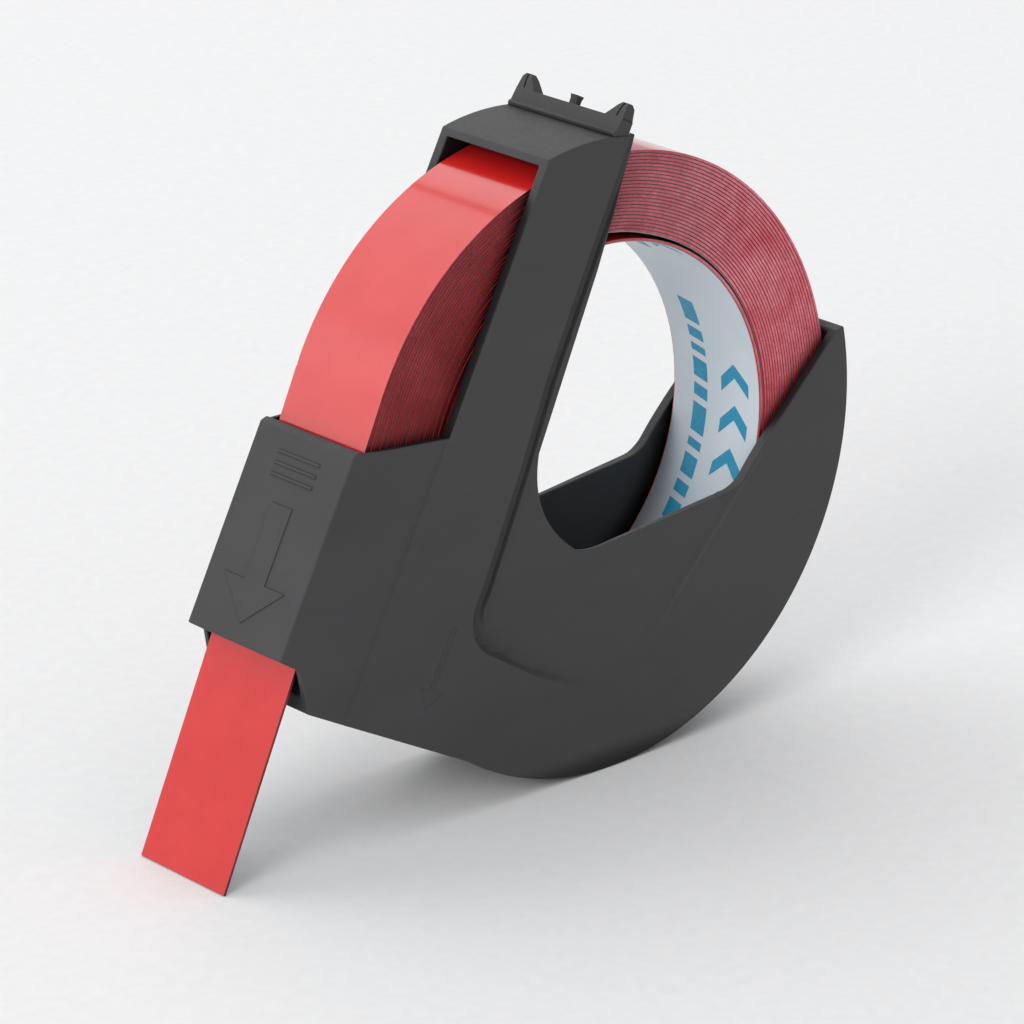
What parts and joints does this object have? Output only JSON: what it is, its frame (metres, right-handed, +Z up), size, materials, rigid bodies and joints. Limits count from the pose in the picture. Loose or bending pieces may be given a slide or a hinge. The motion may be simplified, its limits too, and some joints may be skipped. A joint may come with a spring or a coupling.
{
  "type": "embossing tape cassette",
  "caption": "Refill cassette for an embossing label maker: C-shaped moulded holder with a clip and tape guide, round a coreless coil of red tape with a leader.",
  "frame": {"origin": "on the surface it stands on, under the middle of the whole part; the coil's axis is 5.56 mm along +X and 23.25 mm up", "axes": "+X from the leader's tip towards the rim, +Y along the coil's axis away from the front side wall, +Z up; the cassette leans back 27 degrees on its belly"},
  "size_m": [0.0576, 0.011, 0.0487],
  "materials": {
    "holder_plastic": "fine moulded texture, dark grey",
    "tape_plastic": "smooth glossy red",
    "liner_paper": "smooth pale release paper with blue print"
  },
  "bodies": {
    "holder": {"front_side_wall": "holder_plastic", "back_side_wall": "holder_plastic", "outer_rim": "holder_plastic", "top_bridge": "holder_plastic", "clip_plate": "holder_plastic", "clip_prongs": "holder_plastic", "clip_peg": "holder_plastic", "guide_plate": "holder_plastic", "channel_floor": "holder_plastic"},
    "coil": {"tape_coil": "tape_plastic", "coil_liner": "liner_paper", "tape_inner_end": "tape_plastic"},
    "leader": {"tape_leader": "tape_plastic", "leader_liner": "liner_paper"}
  },
  "joints": [
    {"name": "coil_spin", "type": "hinge", "parent": "holder", "child": "coil", "pos_m": [0.00556, 0, 0.02325], "axis": [0, -1, 0], "range_deg": [-36.5, 0]},
    {"name": "leader_feed", "type": "slide", "parent": "holder", "child": "leader", "axis": [-0.4075, 0, -0.9132], "range_m": [-0.014, 0]}
  ],
  "couplings": [
    {"joint": "leader_feed", "follows": "coil_spin", "m_per_rad": 0.02195}
  ]
}
